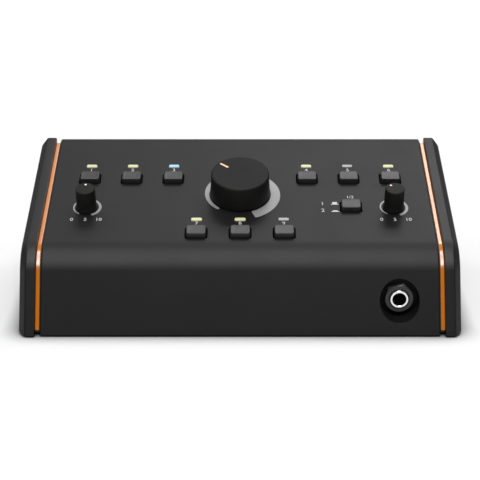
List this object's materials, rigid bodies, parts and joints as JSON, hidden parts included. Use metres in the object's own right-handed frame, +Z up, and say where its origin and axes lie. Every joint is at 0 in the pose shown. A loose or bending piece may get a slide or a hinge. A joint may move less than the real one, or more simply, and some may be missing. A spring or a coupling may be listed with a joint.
{
  "type": "studio monitor controller",
  "caption": "Wedge-shaped desktop studio monitor controller with a big level knob, small knobs, push buttons with lamps, a headphone socket and line sockets.",
  "frame": {"origin": "on the surface it stands on, in the middle of its width and depth", "axes": "+X to the user's right along the front edge, +Y towards the back, +Z up"},
  "size_m": [0.21, 0.111, 0.0665],
  "materials": {
    "case_black": "fine textured powder coat",
    "chassis_black": "fine textured powder coat",
    "cheek_black": "fine textured powder coat",
    "trim_orange": "satin gloss",
    "screw_black": "black oxide",
    "foot_rubber": "matte",
    "zinc_steel": "zinc plated",
    "circuit_board": "solder mask",
    "standoff_brass": "plain",
    "pot_metal": "stamped",
    "part_black": "moulded",
    "lamp_warm": "diffused, lit",
    "lamp_blue": "diffused, lit",
    "lamp_dark": "diffused, off",
    "ferrule_silver": "plated",
    "nut_black": "moulded",
    "relay_grey": "moulded",
    "capacitor_blue": "sleeve",
    "shield_steel": "tinned",
    "ribbon_grey": "ribbed",
    "knob_black": "satin",
    "pointer_orange": "printed",
    "dot_white": "printed",
    "shaft_steel": "turned",
    "button_black": "satin"
  },
  "bodies": {
    "case": {"top_cover": "case_black", "side_plates": "chassis_black", "base_chassis": "chassis_black", "rear_panel": "chassis_black", "left_cheek": "cheek_black", "right_cheek": "cheek_black", "left_trim": "trim_orange", "right_trim": "trim_orange", "cheek_screws": "screw_black", "rubber_feet": "foot_rubber", "foot_screws": "zinc_steel", "control_board": "circuit_board", "control_board_standoffs": "standoff_brass", "main_board": "circuit_board", "main_board_standoffs": "standoff_brass", "board_screws": "zinc_steel", "main_pot_body": "pot_metal", "main_pot_nut": "zinc_steel", "small_pot_bodies": "pot_metal", "switch_housings": "part_black", "lit_lamps": "lamp_warm", "blue_lamp": "lamp_blue", "unlit_lamps": "lamp_dark", "headphone_socket_body": "part_black", "headphone_ferrule": "ferrule_silver", "headphone_nut": "nut_black", "rear_socket_bodies": "part_black", "rear_socket_ferrules": "ferrule_silver", "rear_socket_nuts": "nut_black", "aux_socket_body": "part_black", "aux_socket_ring": "ferrule_silver", "power_inlet_body": "part_black", "power_inlet_pin": "ferrule_silver", "power_switch_housing": "part_black", "relays": "relay_grey", "capacitors": "capacitor_blue", "amplifier_chips": "part_black", "wireless_module": "shield_steel", "ribbon_cable": "ribbon_grey", "ribbon_headers": "part_black"},
    "main_knob": {"main_knob": "knob_black", "main_knob_pointer": "pointer_orange", "main_pot_shaft": "shaft_steel"},
    "left_knob": {"left_knob": "knob_black", "left_knob_dot": "dot_white", "left_pot_shaft": "shaft_steel"},
    "right_knob": {"right_knob": "knob_black", "right_knob_dot": "dot_white", "right_pot_shaft": "shaft_steel"},
    "source_button_1": {"source_button_1": "button_black"},
    "source_button_2": {"source_button_2": "button_black"},
    "source_button_3": {"source_button_3": "button_black"},
    "speaker_button_1": {"speaker_button_1": "button_black"},
    "speaker_button_2": {"speaker_button_2": "button_black"},
    "speaker_button_3": {"speaker_button_3": "button_black"},
    "function_button_1": {"function_button_1": "button_black"},
    "function_button_2": {"function_button_2": "button_black"},
    "function_button_3": {"function_button_3": "button_black"},
    "selector_button": {"selector_button": "button_black"},
    "power_button": {"power_button": "button_black"}
  },
  "joints": [
    {"name": "main_knob_turn", "type": "hinge", "parent": "case", "child": "main_knob", "pos_m": [0, 0.00504, 0.05594], "axis": [0, -0.2967, 0.955], "range_deg": [-199.5, 100.5]},
    {"name": "left_knob_turn", "type": "hinge", "parent": "case", "child": "left_knob", "pos_m": [-0.0759, -0.00594, 0.05253], "axis": [0, -0.2967, 0.955], "range_deg": [-150, 150]},
    {"name": "right_knob_turn", "type": "hinge", "parent": "case", "child": "right_knob", "pos_m": [0.0759, -0.00594, 0.05253], "axis": [0, -0.2967, 0.955], "range_deg": [-188, 112]},
    {"name": "source_button_1_press", "type": "slide", "parent": "case", "child": "source_button_1", "axis": [0, 0.2967, -0.955], "range_m": [0, 0.0018], "stiffness_N_per_m": 150, "springref_m": -0.004},
    {"name": "source_button_2_press", "type": "slide", "parent": "case", "child": "source_button_2", "axis": [0, 0.2967, -0.955], "range_m": [0, 0.0018], "stiffness_N_per_m": 150, "springref_m": -0.004},
    {"name": "source_button_3_press", "type": "slide", "parent": "case", "child": "source_button_3", "axis": [0, 0.2967, -0.955], "range_m": [0, 0.0018], "stiffness_N_per_m": 150, "springref_m": -0.004},
    {"name": "speaker_button_1_press", "type": "slide", "parent": "case", "child": "speaker_button_1", "axis": [0, 0.2967, -0.955], "range_m": [0, 0.0018], "stiffness_N_per_m": 150, "springref_m": -0.004},
    {"name": "speaker_button_2_press", "type": "slide", "parent": "case", "child": "speaker_button_2", "axis": [0, 0.2967, -0.955], "range_m": [0, 0.0018], "stiffness_N_per_m": 150, "springref_m": -0.004},
    {"name": "speaker_button_3_press", "type": "slide", "parent": "case", "child": "speaker_button_3", "axis": [0, 0.2967, -0.955], "range_m": [0, 0.0018], "stiffness_N_per_m": 150, "springref_m": -0.004},
    {"name": "function_button_1_press", "type": "slide", "parent": "case", "child": "function_button_1", "axis": [0, 0.2967, -0.955], "range_m": [0, 0.0018], "stiffness_N_per_m": 150, "springref_m": -0.004},
    {"name": "function_button_2_press", "type": "slide", "parent": "case", "child": "function_button_2", "axis": [0, 0.2967, -0.955], "range_m": [0, 0.0018], "stiffness_N_per_m": 150, "springref_m": -0.004},
    {"name": "function_button_3_press", "type": "slide", "parent": "case", "child": "function_button_3", "axis": [0, 0.2967, -0.955], "range_m": [0, 0.0018], "stiffness_N_per_m": 150, "springref_m": -0.004},
    {"name": "selector_button_press", "type": "slide", "parent": "case", "child": "selector_button", "axis": [0, 0.2967, -0.955], "range_m": [0, 0.0018], "stiffness_N_per_m": 150, "springref_m": -0.004},
    {"name": "power_button_press", "type": "slide", "parent": "case", "child": "power_button", "axis": [0, -1, 0], "range_m": [0, 0.002], "stiffness_N_per_m": 150, "springref_m": -0.004}
  ]
}
